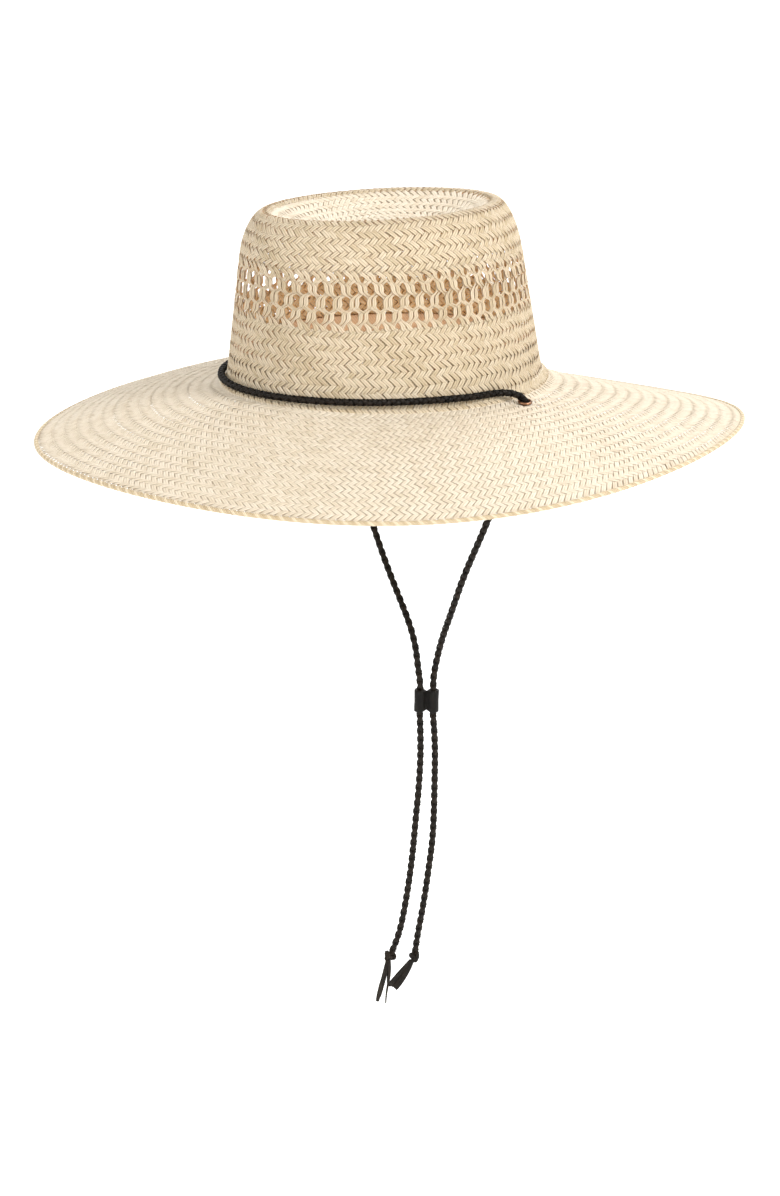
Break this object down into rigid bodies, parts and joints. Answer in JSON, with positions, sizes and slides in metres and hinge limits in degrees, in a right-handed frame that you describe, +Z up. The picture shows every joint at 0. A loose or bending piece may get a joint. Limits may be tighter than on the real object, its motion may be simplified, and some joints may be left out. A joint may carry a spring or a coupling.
{
  "type": "straw sun hat",
  "caption": "Wide-brimmed woven straw sun hat with a vented, dented oval crown, an inner sweatband and a braided leather chin cord with a slider.",
  "frame": {"origin": "centre of the oval head opening, in the plane where the crown wall meets the brim", "axes": "+Z up through the crown, -Y to the front of the hat, +X to the wearer's left side"},
  "size_m": [0.4038, 0.4544, 0.5435],
  "materials": {
    "straw": "matte",
    "sweatband_fabric": "matte",
    "thread": "matte",
    "eyelet_metal": "satin",
    "braided_leather": "satin",
    "leather_thong": "matte",
    "slider_leather": "satin"
  },
  "bodies": {
    "hat": {"crown_tip": "straw", "crown_upper_wall": "straw", "vent_band": "straw", "crown_lower_wall": "straw", "brim": "straw", "brim_edge_roll": "straw", "sweatband": "sweatband_fabric", "sweatband_stitches": "thread", "eyelet_left": "eyelet_metal", "eyelet_right": "eyelet_metal", "eyelet_washer_left": "eyelet_metal", "eyelet_washer_right": "eyelet_metal"},
    "crown_cord": {"crown_cord": "braided_leather"},
    "chin_cord": {"chin_cord_left": "braided_leather", "chin_cord_right": "braided_leather", "tail_cord_left": "braided_leather", "tail_cord_right": "braided_leather", "knot_left": "braided_leather", "knot_right": "braided_leather", "cord_ends_left": "leather_thong", "cord_ends_right": "leather_thong"},
    "slider": {"cord_slider": "slider_leather"}
  },
  "joints": [
    {"name": "crown_cord_lift", "type": "hinge", "parent": "hat", "child": "crown_cord", "pos_m": [0, 0.0339, -0.0053], "axis": [-1, 0, 0], "range_deg": [0, 6]},
    {"name": "chin_cord_swing", "type": "hinge", "parent": "hat", "child": "chin_cord", "pos_m": [0, 0.0339, -0.009], "axis": [1, 0, 0], "range_deg": [-65, 65]},
    {"name": "slider_slide", "type": "slide", "parent": "chin_cord", "child": "slider", "axis": [0.0436, 0.0571, 0.9974], "range_m": [-0.155, 0.09], "deforming": ["chin_cord_left", "chin_cord_right", "tail_cord_left", "tail_cord_right"]}
  ]
}
